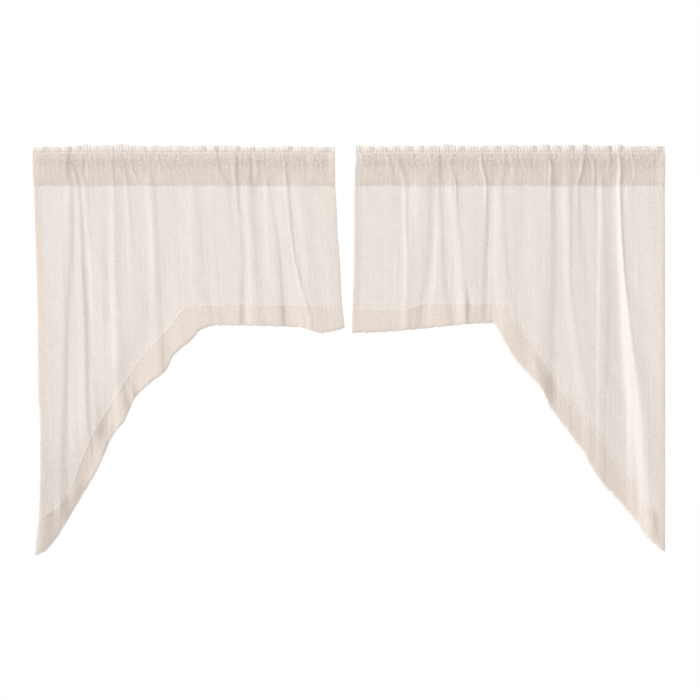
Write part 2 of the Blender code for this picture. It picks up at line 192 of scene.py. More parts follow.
RIGHT_FACES = (
    Face("a_pocket_fall", 2.6, (88, 96, 105), (-.8, -.6, 0)),
    Face("a_small_rise", 5, (90, 90, 90, 87), (0, 0, .2, 0)),
    Face("a_pocket_rise", 2.8, (93, 111, 124, 124), (.2, .85, .2, 0)),
    Face("a_rise", 5, (119, 119, 120, 124, 126, 121), (0, 0, .3, .55, .5, .35)),
    Face("a_fall", 3.2, (112, 121, 131, 130, 135, 135), (0, -.4, -.45, -.55, -.3, -.38)),
    Face("b_rise", 9, (146, 146, 147, 150, 153), (0, 0, .45, .22, 0)),
    Face("b_gentle_fall", 9, (135, 135, 135, 137, 146, 153), (0, 0, 0, 0, -.1, -.2)),
    Face("b_fall", 6, (178, 178, 180, 182, 177, 156), (0, 0, -.33, -.42, -.48, -.22)),
    Face("c_rise", 6, (196, 196, 198, 197, 194, 180), (0, 0, .35, .5, .48, .3)),
    Face("c_pocket", 2.6, (205, 205, 204, 205), (-.9, -1.3, -.3, 0)),
    Face("c_fall", 6, (207, 207, 207, 209, 212, 227), (0, 0, -.4, -.42, -.5, -.3)),
    Face("d_pocket_rise", 2.8, (207, 226, 239, 240), (.3, .6, .4, 0)),
    Face("d_pocket_fall", 2.4, (236, 231, 244, 245), (-.4, -.3, -.5, 0)),
    Face("d_rise", 8, (225, 225, 226, 235, 242, 252), (0, 0, .48, .48, .42, .35)),
    Face("d_fall", 3.2, (243, 243, 243, 248, 258, 266), (0, 0, -.45, -.33, -.1, -.6)),
    Face("e_gentle_fall", 12, (282, 282, 282, 282, 282, 288), (0, 0, 0, 0, -.1, -.18)),
    Face("e_rise", 2.4, (293, 297, 306, 304), (.4, 1, .7, 0)),
    Face("e_pocket", 2.6, (297, 303, 312, 311, 309), (-.5, -.8, -.9, -.4, 0)),
    Face("e_fall", 5, (313, 313, 314, 312, 307, 302), (0, 0, -.15, -.5, -.7, -.38)),
    Face("f_rise", 9, (333, 333, 333, 331, 330, 340), (0, 0, .4, .42, .38, .2)),
    Face("f_pocket_fall", 2.6, (353, 352, 347), (-.7, -.7, 0)),
    Face("f_pocket_rise", 2.6, (357, 367, 365, 365), (.5, .65, .1, 0)),
    Face("f_fall", 6, (347, 347, 347, 349, 356, 379, 408), (0, 0, -.4, -.39, -.3, -.25, 0)),
    Face("g_fall", 8, (392, 392, 392, 389, 381, 372), (0, 0, -.18, -.16, -.08, 0)),
    Face("g_rise", 10, (406, 406, 406, 407, 408, 417), (0, 0, .15, .15, .12, .08)),
    Face("h_rise", 2.6, (446, 452, 451, 449), (.4, 1, .5, 0)),
    Face("h_pocket", 2.6, (450, 458, 458, 458), (-.6, -1, -.4, 0)),
    Face("h_fall", 6, (460, 460, 460, 461, 461, 458, 454), (0, 0, -.55, -.6, -.6, -.45, -.2)),
    Face("h_gentle_fall", 14, (449, 449, 449, 449, 446, 440), (0, 0, 0, 0, -.03, -.2)),
    Face("i_rise", 8, (485, 485, 484, 486, 489, 497, 532), (0, 0, .45, .42, .45, .4, .2)),
    Face("i_fall", 3.5, (501, 501, 501, 501, 501, 512, 557), (0, 0, -.5, -.48, -.35, -.32, 0)),
    Face("j_rise", 2.4, (523, 522, 513, 512), (.4, 1, .4, 0)),
    Face("j_pocket", 2.4, (532, 527, 519, 521), (-.5, -1.6, -.75, 0)),
    Face("j_fall", 5, (521, 521, 521, 521, 529, 543), (0, 0, 0, -.4, -.25, -.05)),
    Face("k_pocket", 2.4, (537, 541, 541), (-.7, -.3, 0)),
    Face("k_rise", 2.6, (541, 549, 550, 550), (.4, .85, .1, 0)),
    Face("k_fall", 2.8, (552, 555, 556, 556, 555), (0, -.65, -.48, -.3, 0)),
    Face("l_rise", 4.5, (564, 564, 566, 566, 565, 563, 560), (0, 0, .6, .62, .5, .42, .15)),
    Face("l_fall", 3.5, (571, 571, 573, 578, 582, 584, 577), (0, 0, -.45, -.33, -.33, -.36, -.25)),
    Face("l_pocket_rise", 2.2, (584, 585, 584), (.3, .4, 0)),
    Face("l_pocket_fall", 2.2, (589, 591, 591), (-1, -.2, 0)),
    Face("m_rise", 3.6, (604, 608, 607, 610, 615, 627, 656), (.6, 1.9, 1.6, 1.7, 1.7, 1, .4)),
    Face("m_broad_rise", 7.5, (600, 600, 600, 604, 611, 620, 632, 634, 650),
         (0, 0, .3, .6, 1, 1.5, .9, .5, 0)),
    Face("m_low_rise", 12, (629, 629, 629, 629, 629, 629, 646, 660, 676),
         (0, 0, 0, 0, 0, .25, 1.25, 1, .4)),
    Face("m_fall", 2.6, (612, 613, 614, 615, 621, 635, 667), (-.5, -1.6, -1.3, -1.3, -1.15, -.55, 0)),
    Face("m_low_fall", 5, (647, 647, 647, 647, 647, 647, 676, 680, 684),
         (0, 0, 0, 0, 0, -.1, -.15, -.15, -.2)),
    Face("m_after", 24, (660, 660, 660, 664, 670, 676, 684, 690, 700),
         (0, .1, .2, .3, .42, .4, .15, 0, 0)),
    Face("l_broad_rise", 16, (552, 552, 552, 548, 546, 546, 546, 546, 546),
         (0, 0, 0, .14, .18, .08, 0, 0, 0)),
    Face("n_rise", 7, (625, 625, 624, 632, 641, 656), (0, 0, .4, .3, .25, .05)),
    Face("n_pocket_rise", 2.4, (633, 641, 638), (.3, .65, 0)),
    Face("n_pocket_fall", 2.4, (638, 647, 648), (-.2, -.45, 0)),
    Face("edge_rise", 9, (704, 704, 704, 704, 704, 704, 706, 707, 709),
         (0, .15, .25, .25, .25, .25, .25, .25, .1)),
)


class Tuck(NamedTuple):
    """A short step in the cloth near a hem. Lean is in degrees from upright, towards the right below."""

    name: str
    x: float
    height: float
    lean: float
    length: float
    width: float
    depth: float    # positive goes back to the right, so the step faces right


LEFT_TUCKS = (
    Tuck("hem_bend", -503, -545, 15, 28, 7, 3.6),
    Tuck("hem_bend_small", -485, -530, 20, 24, 6, 4.0),
    Tuck("lower_hem", -550, -646, -12, 22, 6, 2.8),
    Tuck("upper_hem", -422, -446, 12, 26, 14, 1.8),
    Tuck("middle_hem", -560, -606, -20, 32, 8, 3.2),
    Tuck("middle_hem_edge", -536, -606, -25, 18, 4, 2.4),
    Tuck("low_hem", -616, -768, -25, 30, 7, 3.4),
    Tuck("tip", -642, -800, 0, 36, 7, 2.8),
)
RIGHT_TUCKS = (
    Tuck("corner_fold", 266, -318, 5, 30, 4, 2.2),
    Tuck("hem_bend", 451, -510, 18, 32, 15, 4.0),
    Tuck("hem_bend_wide", 486, -540, 12, 26, 10, 1.0),
    Tuck("hem_bend_small", 428, -462, 30, 20, 5, 2.0),
    Tuck("low_hem", 618, -735, 25, 30, 8, -1.0),
    Tuck("tip", 692, -826, 6, 26, 6, 1.8),
)

# The header's puffs: x of the pinch before each, the header's height there, and the puff's crown height.
LEFT_HEADER = (
    (-716, 28.0, 30.0), (-649, 26.5, 31.0), (-625, 28.5, 33.0), (-606, 28.5, 35.5), (-582, 26.5, 33.5),
    (-530, 31.5, 36.0), (-496, 27.0, 33.0), (-455, 27.0, 33.0), (-417, 27.5, 32.5), (-361, 28.5, 33.0),
    (-322, 27.0, 33.0), (-294, 28.5, 32.5), (-274, 29.0, 32.5), (-246, 27.0, 30.0), (-228, 28.5, 30.5),
    (-212, 25.0, 29.5), (-189, 27.0, 31.0), (-167, 24.5, 32.0), (-128, 30.0, 30.5), (-80, 29.0, 29.5),
    (-31, 28.5, 28.5),
)
RIGHT_HEADER = (
    (13, 31.5, 33.0), (56, 27.0, 31.0), (86, 26.0, 32.0), (148, 30.0, 33.0), (169, 30.0, 32.5),
    (205, 30.5, 35.0), (241, 30.0, 32.5), (260, 29.5, 31.5), (293, 28.0, 33.0), (344, 29.0, 34.5),
    (384, 28.0, 33.5), (423, 29.5, 35.0), (453, 31.0, 33.0), (481, 31.0, 34.0), (510, 30.0, 35.0),
    (547, 27.0, 32.5), (593, 31.5, 35.0), (618, 29.0, 31.0), (660, 31.0, 31.5), (714, 28.0, 28.0),
)

# A panel's outer and inner side, as height and x.
LEFT_TAIL_SIDE = ((15, -714), (-58, -712), (-230, -707), (-361, -703), (-540, -701), (-580, -697.5),
                  (-700, -696.5), (-790, -698.5), (-847, -704), (-892, -709))
LEFT_SHORT_SIDE = ((15, -33), (-58, -32), (-110, -29), (-160, -27), (-225, -22), (-320, -17), (-384, -10))
RIGHT_SHORT_SIDE = ((15, 15), (-58, 12), (-225, 11), (-320, 8), (-391, 6))
RIGHT_TAIL_SIDE = ((15, 711.5), (-892, 712.5))

# Lower edge and the hem's upper line, as x and height.
LEFT_EDGE = (
    (-706, -892), (-684, -881), (-656, -847), (-640, -820), (-595, -743), (-567, -695), (-536, -625),
    (-504, -583), (-486, -540), (-450, -504), (-414, -475), (-396, -440), (-360, -410), (-333, -382),
    (-296, -373), (-116, -377), (-62, -390), (-8, -379),
)
LEFT_HEM = (
    (-704, -813), (-642, -763), (-606, -677), (-574, -605), (-534, -542), (-479, -456), (-416, -385),
    (-360, -327), (-98, -325), (-8, -333),
)
RIGHT_EDGE = (
    (4, -390), (56, -389), (200, -377), (273, -370), (324, -368), (345, -402), (372, -447), (408, -488),
    (435, -520), (453, -558), (489, -607), (525, -655), (562, -718), (616, -777), (643, -810),
    (654, -824), (668, -847), (691, -869), (713, -886),
)
RIGHT_HEM = (
    (4, -336), (126, -335), (171, -323), (343, -323), (385, -375), (431, -434), (489, -528), (566, -623),
    (611, -695), (670, -777), (715, -801),
)

# -------- shape helpers


def smooth(t):
    """0 before 0, 1 after 1, and an even S between them."""
    t = np.clip(t, 0.0, 1.0)
    return t * t * (3.0 - 2.0 * t)


def curve(places, values, at):
    """A smooth curve with no overshoot through values at rising places, level past both ends."""
    places, values = np.array(places, float), np.array(values, float)
    slopes = np.diff(values) / np.diff(places)
    before, after = slopes[:-1], slopes[1:]
    agree = before * after > 0.0
    total = np.where(agree, before + after, 1.0)
    inner = np.where(agree, 2.0 * before * after / total, 0.0)
    tangents = np.concatenate([slopes[:1], inner, slopes[-1:]])
    at = np.clip(at, places[0], places[-1])
    i = np.clip(np.searchsorted(places, at, side="right") - 1, 0, len(places) - 2)
    span = places[i + 1] - places[i]
    t = (at - places[i]) / span
    return (values[i] * (1 + 2 * t) * (1 - t) ** 2 + span * tangents[i] * t * (1 - t) ** 2
            + values[i + 1] * t * t * (3 - 2 * t) - span * tangents[i + 1] * t * t * (1 - t))


def outline(points, x):
    """Height at x on a line given as x and height."""
    return curve([p[0] for p in points], [p[1] for p in points], x)


def side_place(points, height):
    """The x at a height on a side given as height and x."""
    return float(curve([-p[0] for p in points], [p[1] for p in points], np.array([-height]))[0])


def through_levels(values, heights):
    """The curve through a face's values at the levels; past its last one it stays as it is."""
    down = [-level for level in LEVELS[:len(values)]]
    return curve(down, values, -heights)


def ripple(x, wavelengths, seed):
    """An even wander of about -1 to 1 along x, from waves with seeded phases."""
    phases = np.random.default_rng(seed).uniform(0.0, 2.0 * math.pi, len(wavelengths))
    waves = [np.sin(2.0 * math.pi * x / length + phase) for length, phase in zip(wavelengths, phases)]
    return sum(waves) / len(wavelengths)


def pocket_reach(heights):
    """How far a pocket wall is from the rod's axis: wrapped round it above, and hanging to the seam below."""
    wrap = POCKET_RADIUS * np.sqrt(np.maximum(1.0 - (heights / POCKET_TOP) ** 2, 0.01))
    hang = POCKET_RADIUS * np.clip(1.0 - heights / POCKET_SEAM, 0.0, 1.0) ** POCKET_BELLY
    return np.where(heights > 0.0, wrap, hang)


def rod_reach(heights):
    """How far from the rod's axis the cloth has to be to clear the rod."""
    return np.sqrt(np.maximum((ROD_RADIUS + ROD_CLEARANCE) ** 2 - heights ** 2, 0.0))


class Folds:
    """A panel's fold faces between its two sides: gives x and stand at any flat width u and height."""

    HEIGHT_STEP = 4.0
    X_STEP = 0.8

    def __init__(self, faces, first_side, second_side):
        self.faces = faces
        self.heights = np.arange(FOLD_TOP, FOLD_FOOT, -self.HEIGHT_STEP)
        flat = np.arange(0.0, PANEL_WIDTH + 1.0, 1.0)
        self.places = np.empty((len(self.heights), len(flat)))
        for i, height in enumerate(self.heights):
            start, end = side_place(first_side, height), side_place(second_side, height)
            x = np.linspace(start, end, int((end - start) / self.X_STEP))
            stand = self.stand_at(x, height + 0.0 * x)
            along = np.concatenate([[0.0], np.cumsum(np.hypot(np.diff(x), np.diff(stand)))])
            self.places[i] = np.interp(flat / PANEL_WIDTH, along / along[-1], x)

    def stand_at(self, x, heights):
        """How far the cloth stands in front of the panel's plane: each face adds its own step."""
        total = np.zeros(np.broadcast(x, heights).shape)
        for face in self.faces:
            past = x - through_levels(face.x, heights)
            rise = face.half_width * through_levels(face.slope, heights) * FOLD_DEPTH
            total = total + rise * (np.tanh(past / face.half_width) - np.tanh(past / FOLD_REACH))
        return total

    def x(self, u, heights):
        u, heights = np.broadcast_arrays(u, heights)
        row = np.clip((self.heights[0] - heights) / self.HEIGHT_STEP, 0.0, len(self.heights) - 1.001)
        column = np.clip(u, 0.0, PANEL_WIDTH - 0.001)
        i, j = row.astype(int), column.astype(int)
        down, across = row - i, column - j
        upper = self.places[i, j] * (1.0 - across) + self.places[i, j + 1] * across
        lower = self.places[i + 1, j] * (1.0 - across) + self.places[i + 1, j + 1] * across
        return upper * (1.0 - down) + lower * down

    def stand(self, u, heights):
        return self.stand_at(self.x(u, heights), heights)


class Panel(NamedTuple):
    """One panel's cloth: where any point of its flat pattern hangs."""

    folds: Folds
    tucks: tuple
    header: tuple
    edge: tuple
    hem: tuple
    seed: int

    LINE_START = -358.0     # a height to start from where a line across the cloth is sought
    LINE_ROUNDS = 40        # each one halves what is left to go

    def height_on(self, points, u):
        """Height at which each column of the cloth meets a line of points."""
        across = u[:1] if u.ndim == 2 else u
        heights = np.full(across.shape, self.LINE_START)
        for _ in range(self.LINE_ROUNDS):
            heights = 0.5 * (heights + outline(points, self.folds.x(across, heights)))
        return heights

    def lower_edge(self, u):
        across = u[:1] if u.ndim == 2 else u
        return self.height_on(self.edge, u) + EDGE_WAVER * ripple(across, EDGE_WAVES, self.seed + 9)

    def crinkles(self, u, heights):
        """Small broken wrinkles of the gathered cloth on the rod, dying out under it."""
        fade = smooth((heights - CRINKLE_FOOT) / CRINKLE_RUN)
        drift = CRINKLE_DRIFT * ripple(heights, DRIFT_DOWN, self.seed + 5)
        fine = ripple(u + drift, FINE_WAVES, self.seed + 6) * ripple(heights - 0.6 * u, FINE_DOWN, 8)
        broad = ripple(u - 1.4 * drift, BROAD_WAVES, self.seed + 7) * ripple(heights + 0.3 * u, BROAD_DOWN, 9)
        return fade * (FINE_CRINKLE * fine + BROAD_CRINKLE * broad)

    def tucked(self, x, heights):
        """The steps of the panel's tucks."""
        total = np.zeros(np.broadcast(x, heights).shape)
        for tuck in self.tucks:
            lean = math.radians(tuck.lean)
            across = (x - tuck.x) * math.cos(lean) + (heights - tuck.height) * math.sin(lean)
            along = (heights - tuck.height) * math.cos(lean) - (x - tuck.x) * math.sin(lean)
            near = np.exp(-(along / tuck.length) ** 2 - (across / (TUCK_REACH * tuck.width)) ** 2)
            total = total - tuck.depth * np.tanh(across / tuck.width) * near
        return total

    def relief(self, u, heights):
        """Small unevenness of hung gauze: slack, fine upright creases, and puckers along the sewn lines."""
        slack = SLACK * ripple(u + 0.35 * heights, SLACK_WAVES, self.seed)
        slack = slack * ripple(heights - 0.2 * u, SLACK_DOWN, self.seed + 1)
        fading = 1.0 + 0.5 * ripple(heights, UPRIGHT_DOWN, 3)
        upright = UPRIGHT * ripple(u, UPRIGHT_WAVES, self.seed + 2) * fading
        hem = self.height_on(self.hem, u)
        puckers = np.zeros(np.broadcast(u, heights).shape)
        for line, size, reach in ((STITCH_LINE, 0.7, 7.0), (POCKET_SEAM, 0.5, 8.0), (hem, 0.4, 7.0)):
            near = np.exp(-np.abs(heights - line) / reach)
            puckers = puckers + size * near * ripple(u, PUCKER_WAVES, self.seed + 4)
        return slack + upright + puckers + self.crinkles(u, heights)

    def front(self, u, heights):
        """Points of the front sheet below the stitch line, at flat width u and height."""
        x = self.folds.x(u, heights)
        stand = self.folds.stand_at(x, heights)
        proud = 0.5 * (stand + np.sqrt(stand * stand + SOFTNESS ** 2) - SOFTNESS)
        hollow = stand - proud
        proud = proud * (1.0 - PROUD_LOST * smooth(heights / POCKET_RADIUS))
        hollow = hollow * (1.0 - HOLLOW_LOST * smooth((heights - HOLLOW_FOOT) / HOLLOW_RUN))
        hem = self.height_on(self.hem, u)
        step = HEM_STEP * smooth((hem - heights) / STEP_RUN)
        step = step + POCKET_STEP * smooth((heights - POCKET_SEAM) / STEP_RUN)
        step = step + HEM_RIDGE * np.exp(-((heights - hem + RIDGE_DROP) / RIDGE_WIDTH) ** 2)
        y = pocket_reach(heights) + proud + hollow + self.relief(u, heights) + step
        y = y + self.tucked(x, heights)
        roll = smooth((self.lower_edge(u) + EDGE_ROLL_HEIGHT - heights) / EDGE_ROLL_HEIGHT)
        y = y - EDGE_ROLL * roll
        y = np.where(heights > -ROD_RADIUS, np.maximum(y, rod_reach(heights)), y)
        return np.stack([x, -y, heights + 0.0 * u], axis=-1)

    def back(self, u, heights):
        """Points of the pocket's back wall."""
        points = self.front(u, heights)
        sewn = points[..., 1] + LAYER
        stand = np.maximum(self.folds.stand(u, heights), 0.0)
        loose = pocket_reach(heights) + BACK_STAND * stand
        loose = loose + BACK_RELIEF * self.relief(u + BACK_SHIFT, heights)
        apart = smooth((heights - POCKET_SEAM) / SEAM_SPREAD)
        y = apart * loose + (1.0 - apart) * sewn
        points[..., 1] = np.maximum(np.maximum(y, rod_reach(heights)), sewn)
        return points

    def header_shape(self, u):
        """The header's top height, and how full its puff is, from 0 at a pinch to 1 at a crown."""
        x = self.folds.x(u, np.full(u.shape, LEVELS[0]))
        starts, pinches, crowns = np.array(self.header, float).T
        i = np.clip(np.searchsorted(starts, x, side="right") - 1, 0, len(starts) - 2)
        t = np.clip((x - starts[i]) / (starts[i + 1] - starts[i]), 0.0, 1.0)
        full = np.sin(math.pi * t) ** PUFF_ROUND
        low = pinches[i] + (pinches[i + 1] - pinches[i]) * smooth(t)
        return low + (crowns[i] - low) * full, full

    def header_layer(self, u, turns, side):
        """Rows of the header, 0 at the stitch line and 1 at the top edge; side is 1 behind, -1 in front."""
        top, full = self.header_shape(u)
        share = 0.5 - 0.5 * np.cos(math.pi * turns)
        height = HEADER_BASE + (top - HEADER_BASE) * share
        x = self.folds.x(u, np.full(u.shape, LEVELS[0]))
        stand = self.folds.stand_at(x, np.full(u.shape, LEVELS[0]))
        bulge = (PINCH_BULGE + CROWN_BULGE * full) * np.sin(math.pi * turns ** BULGE_HEIGHT)
        sway = HEADER_SWAY * share * (ripple(u, SWAY_WAVES, self.seed + 7) - (1.0 - full))
        wrinkle = HEADER_WRINKLE * (1.0 - 0.5 * share) * ripple(u + 4.0 * share, WRINKLE_WAVES, self.seed + 8)
        y = HEADER_SHARE * stand + HEADER_OUT + sway + wrinkle - side * (HEADER_GAP + bulge)
        return np.stack([x + 0.0 * share, -y + 0.0 * share, height], axis=-1)


# -------- sheets

COLUMNS = 640            # of single cloth, between the side hems' edges
TURNED = (18.0, 12.0, 6.0, 1.2)      # columns of a side hem's turned cloth, from its edge
ROUND_TAKE = 0.6         # cloth that the rounding of a side hem's edge takes up
ROUND_REACH = 0.4        # how far that rounding stands past the cloth's side
ROUND_DROP = 0.5         # how far the lower hem's rounding stands below its edge

BACK_ROWS = np.concatenate([np.linspace(POCKET_SEAM + 0.8, 12.5, 13), [14.3, 15.1]])
POCKET_ROWS = np.concatenate([
    [15.1, 14.4, 13.2], np.linspace(11.5, POCKET_SEAM + 3.0, 26), [POCKET_SEAM + 1.2, POCKET_SEAM - 0.6]])
HEADER_ROWS = 9
SINGLE_ROWS = 66         # between the pocket's seam and the hem
SINGLE_TOP = POCKET_SEAM - 2.5
ROW_SPREAD = 1.06        # above 1, the rows are closer together under the pocket
HEM_MARGIN = 2.0         # how far above the hem's top the last of these rows is
HEM_SHARES = (0.0, 0.02, 0.05, 0.12, 0.3, 0.5, 0.7, 0.86, 0.93, 0.97, 1.0)
TURNED_SHARES = (1.0, 0.93, 0.86, 0.5, 0.3, 0.05)     # rows of the hem's turned cloth, out of those above
FLAT_TURN = 60.0         # twice the header's height, at which the flat cloth is folded to the back

# How far the threads are spread: 0 in single cloth, 1 in a pressed hem. The spread also sets how much painted
# light lightens the gauze's colour.
# above 1, the header's spread also paints it paler, as painted light
HEADER_DENSITY = 1.8
POCKET_DENSITY = 0.62    # in the slack cloth of the pocket below the rod
ROD_DENSITY = 0.42       # and in the cloth that is stretched over the rod
HEM_BLEND = 1.2          # distance over which a hem's density sets in
SEAM_BLEND = 2.0         # the same at the pocket's seam
ROD_BLEND = 14.0         # and below the rod
HEADER_FOOT = 9.0        # the header's density sets in from here
HEADER_BLEND = 6.0       # over this much more


class Columns(NamedTuple):
    """The sheet's columns, from the turned cloth of one side hem to that of the other."""

    u: np.ndarray           # place on the panel's finished width
    flat: np.ndarray        # place on the flat cloth, with the side hems let out
    lift: np.ndarray        # distance behind the front layer
    outward: np.ndarray     # reach past the cloth's side


def sheet_columns():
    main, inside = np.linspace(0.0, PANEL_WIDTH, COLUMNS), np.zeros(COLUMNS)
    turned = np.array(TURNED)
    level, doubled = 0.0 * turned, LAYER + 0.0 * turned
    u = [turned, [0.0], main, [PANEL_WIDTH], PANEL_WIDTH - turned[::-1]]
    flat = [-turned, [-ROUND_TAKE], main, [PANEL_WIDTH + ROUND_TAKE], PANEL_WIDTH + turned[::-1]]
    lift = [doubled, [LAYER / 2], inside, [LAYER / 2], doubled]
    outward = [level, [-ROUND_REACH], inside, [ROUND_REACH], level]
    return Columns(np.concatenate(u)[None, :], np.concatenate(flat), np.concatenate(lift)[None, :, None],
                   np.concatenate(outward)[None, :])


def behind(points, towards, distance):
    """The points moved off their sheet by a distance, to the side that faces towards (+1 is +Y)."""
    across = np.gradient(points, axis=1)
    down = np.gradient(points, axis=0)
    normal = np.cross(across, down)
    normal /= np.maximum(np.linalg.norm(normal, axis=2, keepdims=True), 1e-9)
    normal *= np.where(normal[..., 1:2] * towards < 0.0, -1.0, 1.0)
    return points + normal * distance


def turned_in(points, columns, towards, distance=0.0):
    """Rows with their side hems turned in, on the side that faces towards, all of it a distance behind."""
    moved = behind(points, towards, columns.lift + distance)
    moved[..., 0] += columns.outward
    return moved


def front_heights(u, hem, edge):
    """Heights of the front's rows down the pocket, the single cloth and the hem."""
    down = np.linspace(0.0, 1.0, SINGLE_ROWS)[:, None] ** ROW_SPREAD
    single = SINGLE_TOP + (hem + HEM_MARGIN - SINGLE_TOP) * down
    hemmed = hem + (edge - hem) * np.array(HEM_SHARES)[:, None]
    return np.concatenate([POCKET_ROWS[:, None] + 0.0 * u, single, hemmed])


def side_hem_density(u):
    return smooth((SIDE_HEM - np.minimum(u, PANEL_WIDTH - u)) / HEM_BLEND + 0.5)


def front_density(u, heights, hem):
    """How far the front's threads are spread: the most of what the hems, the pocket and the header do."""
    hemmed = np.maximum(smooth((hem - heights) / HEM_BLEND + 0.5), side_hem_density(u))
    over_rod = smooth((heights + ROD_RADIUS) / ROD_BLEND + 1.0)
    slack = POCKET_DENSITY + (ROD_DENSITY - POCKET_DENSITY) * over_rod
    pocket = slack * smooth((heights - POCKET_SEAM) / SEAM_BLEND + 0.5)
    header = smooth((heights - HEADER_FOOT) / HEADER_BLEND)
    return np.maximum(hemmed, np.maximum(pocket, header))


def sheet_mesh(name, grid, uv, dense):
    """A mesh of quads from a grid of points in millimetres, with its flat place as UVs in metres."""
    rows, columns = grid.shape[:2]
    index = np.arange(rows * columns).reshape(rows, columns)
    quads = np.stack([index[:-1, :-1], index[1:, :-1], index[1:, 1:], index[:-1, 1:]], axis=-1).reshape(-1, 4)
    mesh = bpy.data.meshes.new(name)
    mesh.from_pydata((grid.reshape(-1, 3) * MM).tolist(), [], quads.tolist())
    layer = mesh.uv_layers.new(name="flat")
    layer.data.foreach_set("uv", (uv.reshape(-1, 2)[quads.reshape(-1)] * MM).reshape(-1))
    packed = mesh.attributes.new("dense", "FLOAT", "POINT")
    packed.data.foreach_set("value", dense.reshape(-1).astype(np.float32))
    mesh.shade_smooth()
    mesh.update()
    return mesh


def panel_sheet(name, panel):
    """The panel's cloth as one sheet: pocket back, header, front, and its turned side and lower hems."""
    columns = sheet_columns()
    u = columns.u
    hem, edge = panel.height_on(panel.hem, u), panel.lower_edge(u)
    turns = np.linspace(0.0, 1.0, HEADER_ROWS)[:, None]
    back_heights = BACK_ROWS[:, None] + 0.0 * u
    back = turned_in(panel.back(u, back_heights), columns, -1)
    header_back = turned_in(panel.header_layer(u, turns, 1), columns, -1)[:-1]
    header_front = turned_in(panel.header_layer(u, turns[::-1], -1), columns, 1)
    bare = panel.front(u, front_heights(u, hem, edge))
    front = turned_in(bare, columns, 1)
    hemmed = bare[-len(HEM_SHARES):]
    rounding = turned_in(hemmed, columns, 1, LAYER / 2)[-1:]
    rounding[..., 2] -= ROUND_DROP
    hem_back = turned_in(hemmed, columns, 1, LAYER)[[HEM_SHARES.index(share) for share in TURNED_SHARES]]
    grid = np.concatenate([back, header_back, header_front, front, rounding, hem_back])

    flat_height = np.concatenate([
        FLAT_TURN - back_heights, FLAT_TURN - header_back[..., 2], header_front[..., 2], front[..., 2],
        rounding[..., 2], 2.0 * edge - hem_back[..., 2]])
    flat = np.stack([np.broadcast_to(columns.flat, flat_height.shape), flat_height], axis=-1)

    stretched = np.maximum(side_hem_density(u), ROD_DENSITY) + 0.0 * back_heights
    header = np.full((len(header_back) + len(header_front), u.shape[1]), HEADER_DENSITY)
    pressed = np.ones((1 + len(hem_back), u.shape[1]))
    dense = np.concatenate([stretched, header, front_density(u, front[..., 2], hem), pressed])
    return bpy.data.objects.new(name, sheet_mesh(name, grid, flat, dense))


# -------- stitching

STITCH_LENGTH = 2.3
STITCH_PITCH = 3.3
STITCH_RADIUS = 0.65
STITCH_SIDES = 6
STITCH_OUT = 0.25        # how far a stitch's middle stands in front of the cloth's
SEWING_STEP = 1.5        # between the points of a sewn line
SEWING_ENDS = 2.0        # a line across the panel stops this far from its sides
HEM_SEWN = 2.0           # a sewn line's distance inside the lower hem's top,
SEAM_SEWN = 1.0          # above the pocket's lower edge,
SIDE_SEWN = 2.5          # and from a side hem's inner edge
SIDE_SEWN_TOP = 13.0
SIDE_SEWN_FOOT = 1.0     # above the lower edge
HEADER_SEWN = 0.02       # of the way up the header


def stitches(points):
    """Short thread ends along a line of points, each a slim spindle. Gives vertices and faces."""
    steps = np.linalg.norm(np.diff(points, axis=0), axis=1)
    along = np.concatenate([[0.0], np.cumsum(steps)])
    starts = np.arange(STITCH_PITCH, along[-1] - STITCH_PITCH, STITCH_PITCH)

    def at(distance):
        return np.stack([np.interp(distance, along, points[:, axis]) for axis in range(3)], axis=-1)

    first, second = at(starts), at(starts + STITCH_LENGTH)
    direction = second - first
    direction /= np.linalg.norm(direction, axis=1, keepdims=True)
    side = np.cross(direction, np.array([0.0, -1.0, 0.0]))
    side /= np.linalg.norm(side, axis=1, keepdims=True)
    out = np.cross(side, direction)
    vertices, faces = [], []
    for start, end, s, o in zip(first, second, side, out):
        base = len(vertices)
        vertices.append(start)
        for angle in np.arange(STITCH_SIDES) * 2.0 * math.pi / STITCH_SIDES:
            vertices.append((start + end) / 2 + (s * math.cos(angle) + o * math.sin(angle)) * STITCH_RADIUS)
        vertices.append(end)
        for i in range(STITCH_SIDES):
            here, there = base + 1 + i, base + 1 + (i + 1) % STITCH_SIDES
            faces.append((base, here, there))
            faces.append((base + STITCH_SIDES + 1, there, here))
    return vertices, faces


def sewn_lines(panel):
    """The sewn lines: above the rod, under the pocket, along the lower hem, and down the side hems."""
    across = np.arange(SEWING_ENDS, PANEL_WIDTH - SEWING_ENDS, SEWING_STEP)
    lines = [
        panel.header_layer(across, np.full(across.shape, HEADER_SEWN), -1),
        panel.front(across, np.full(across.shape, POCKET_SEAM + SEAM_SEWN)),
        panel.front(across, panel.height_on(panel.hem, across) - HEM_SEWN),
    ]
    for inset in (SIDE_HEM - SIDE_SEWN, PANEL_WIDTH - SIDE_HEM + SIDE_SEWN):
        foot = panel.lower_edge(np.array([inset]))[0] + SIDE_SEWN_FOOT
        heights = np.arange(SIDE_SEWN_TOP, foot, -SEWING_STEP)
        lines.append(panel.front(np.full(heights.shape, inset), heights))
    return lines


def panel_stitching(name, panel):
    vertices, faces = [], []
    for line in sewn_lines(panel):
        line[:, 1] -= STITCH_OUT
        more, corners = stitches(line)
        faces.extend(tuple(i + len(vertices) for i in corner) for corner in corners)
        vertices.extend(more)
    mesh = bpy.data.meshes.new(name)
    mesh.from_pydata([tuple(float(c) * MM for c in v) for v in vertices], [], faces)
    mesh.shade_smooth()
    return bpy.data.objects.new(name, mesh)


# -------- materials

THREADS = 720.0          # threads in a metre, each way
SLUBS = 16.0             # thick and thin stretches in a metre of thread
WANDER = 0.0016          # how far the threads stray from straight

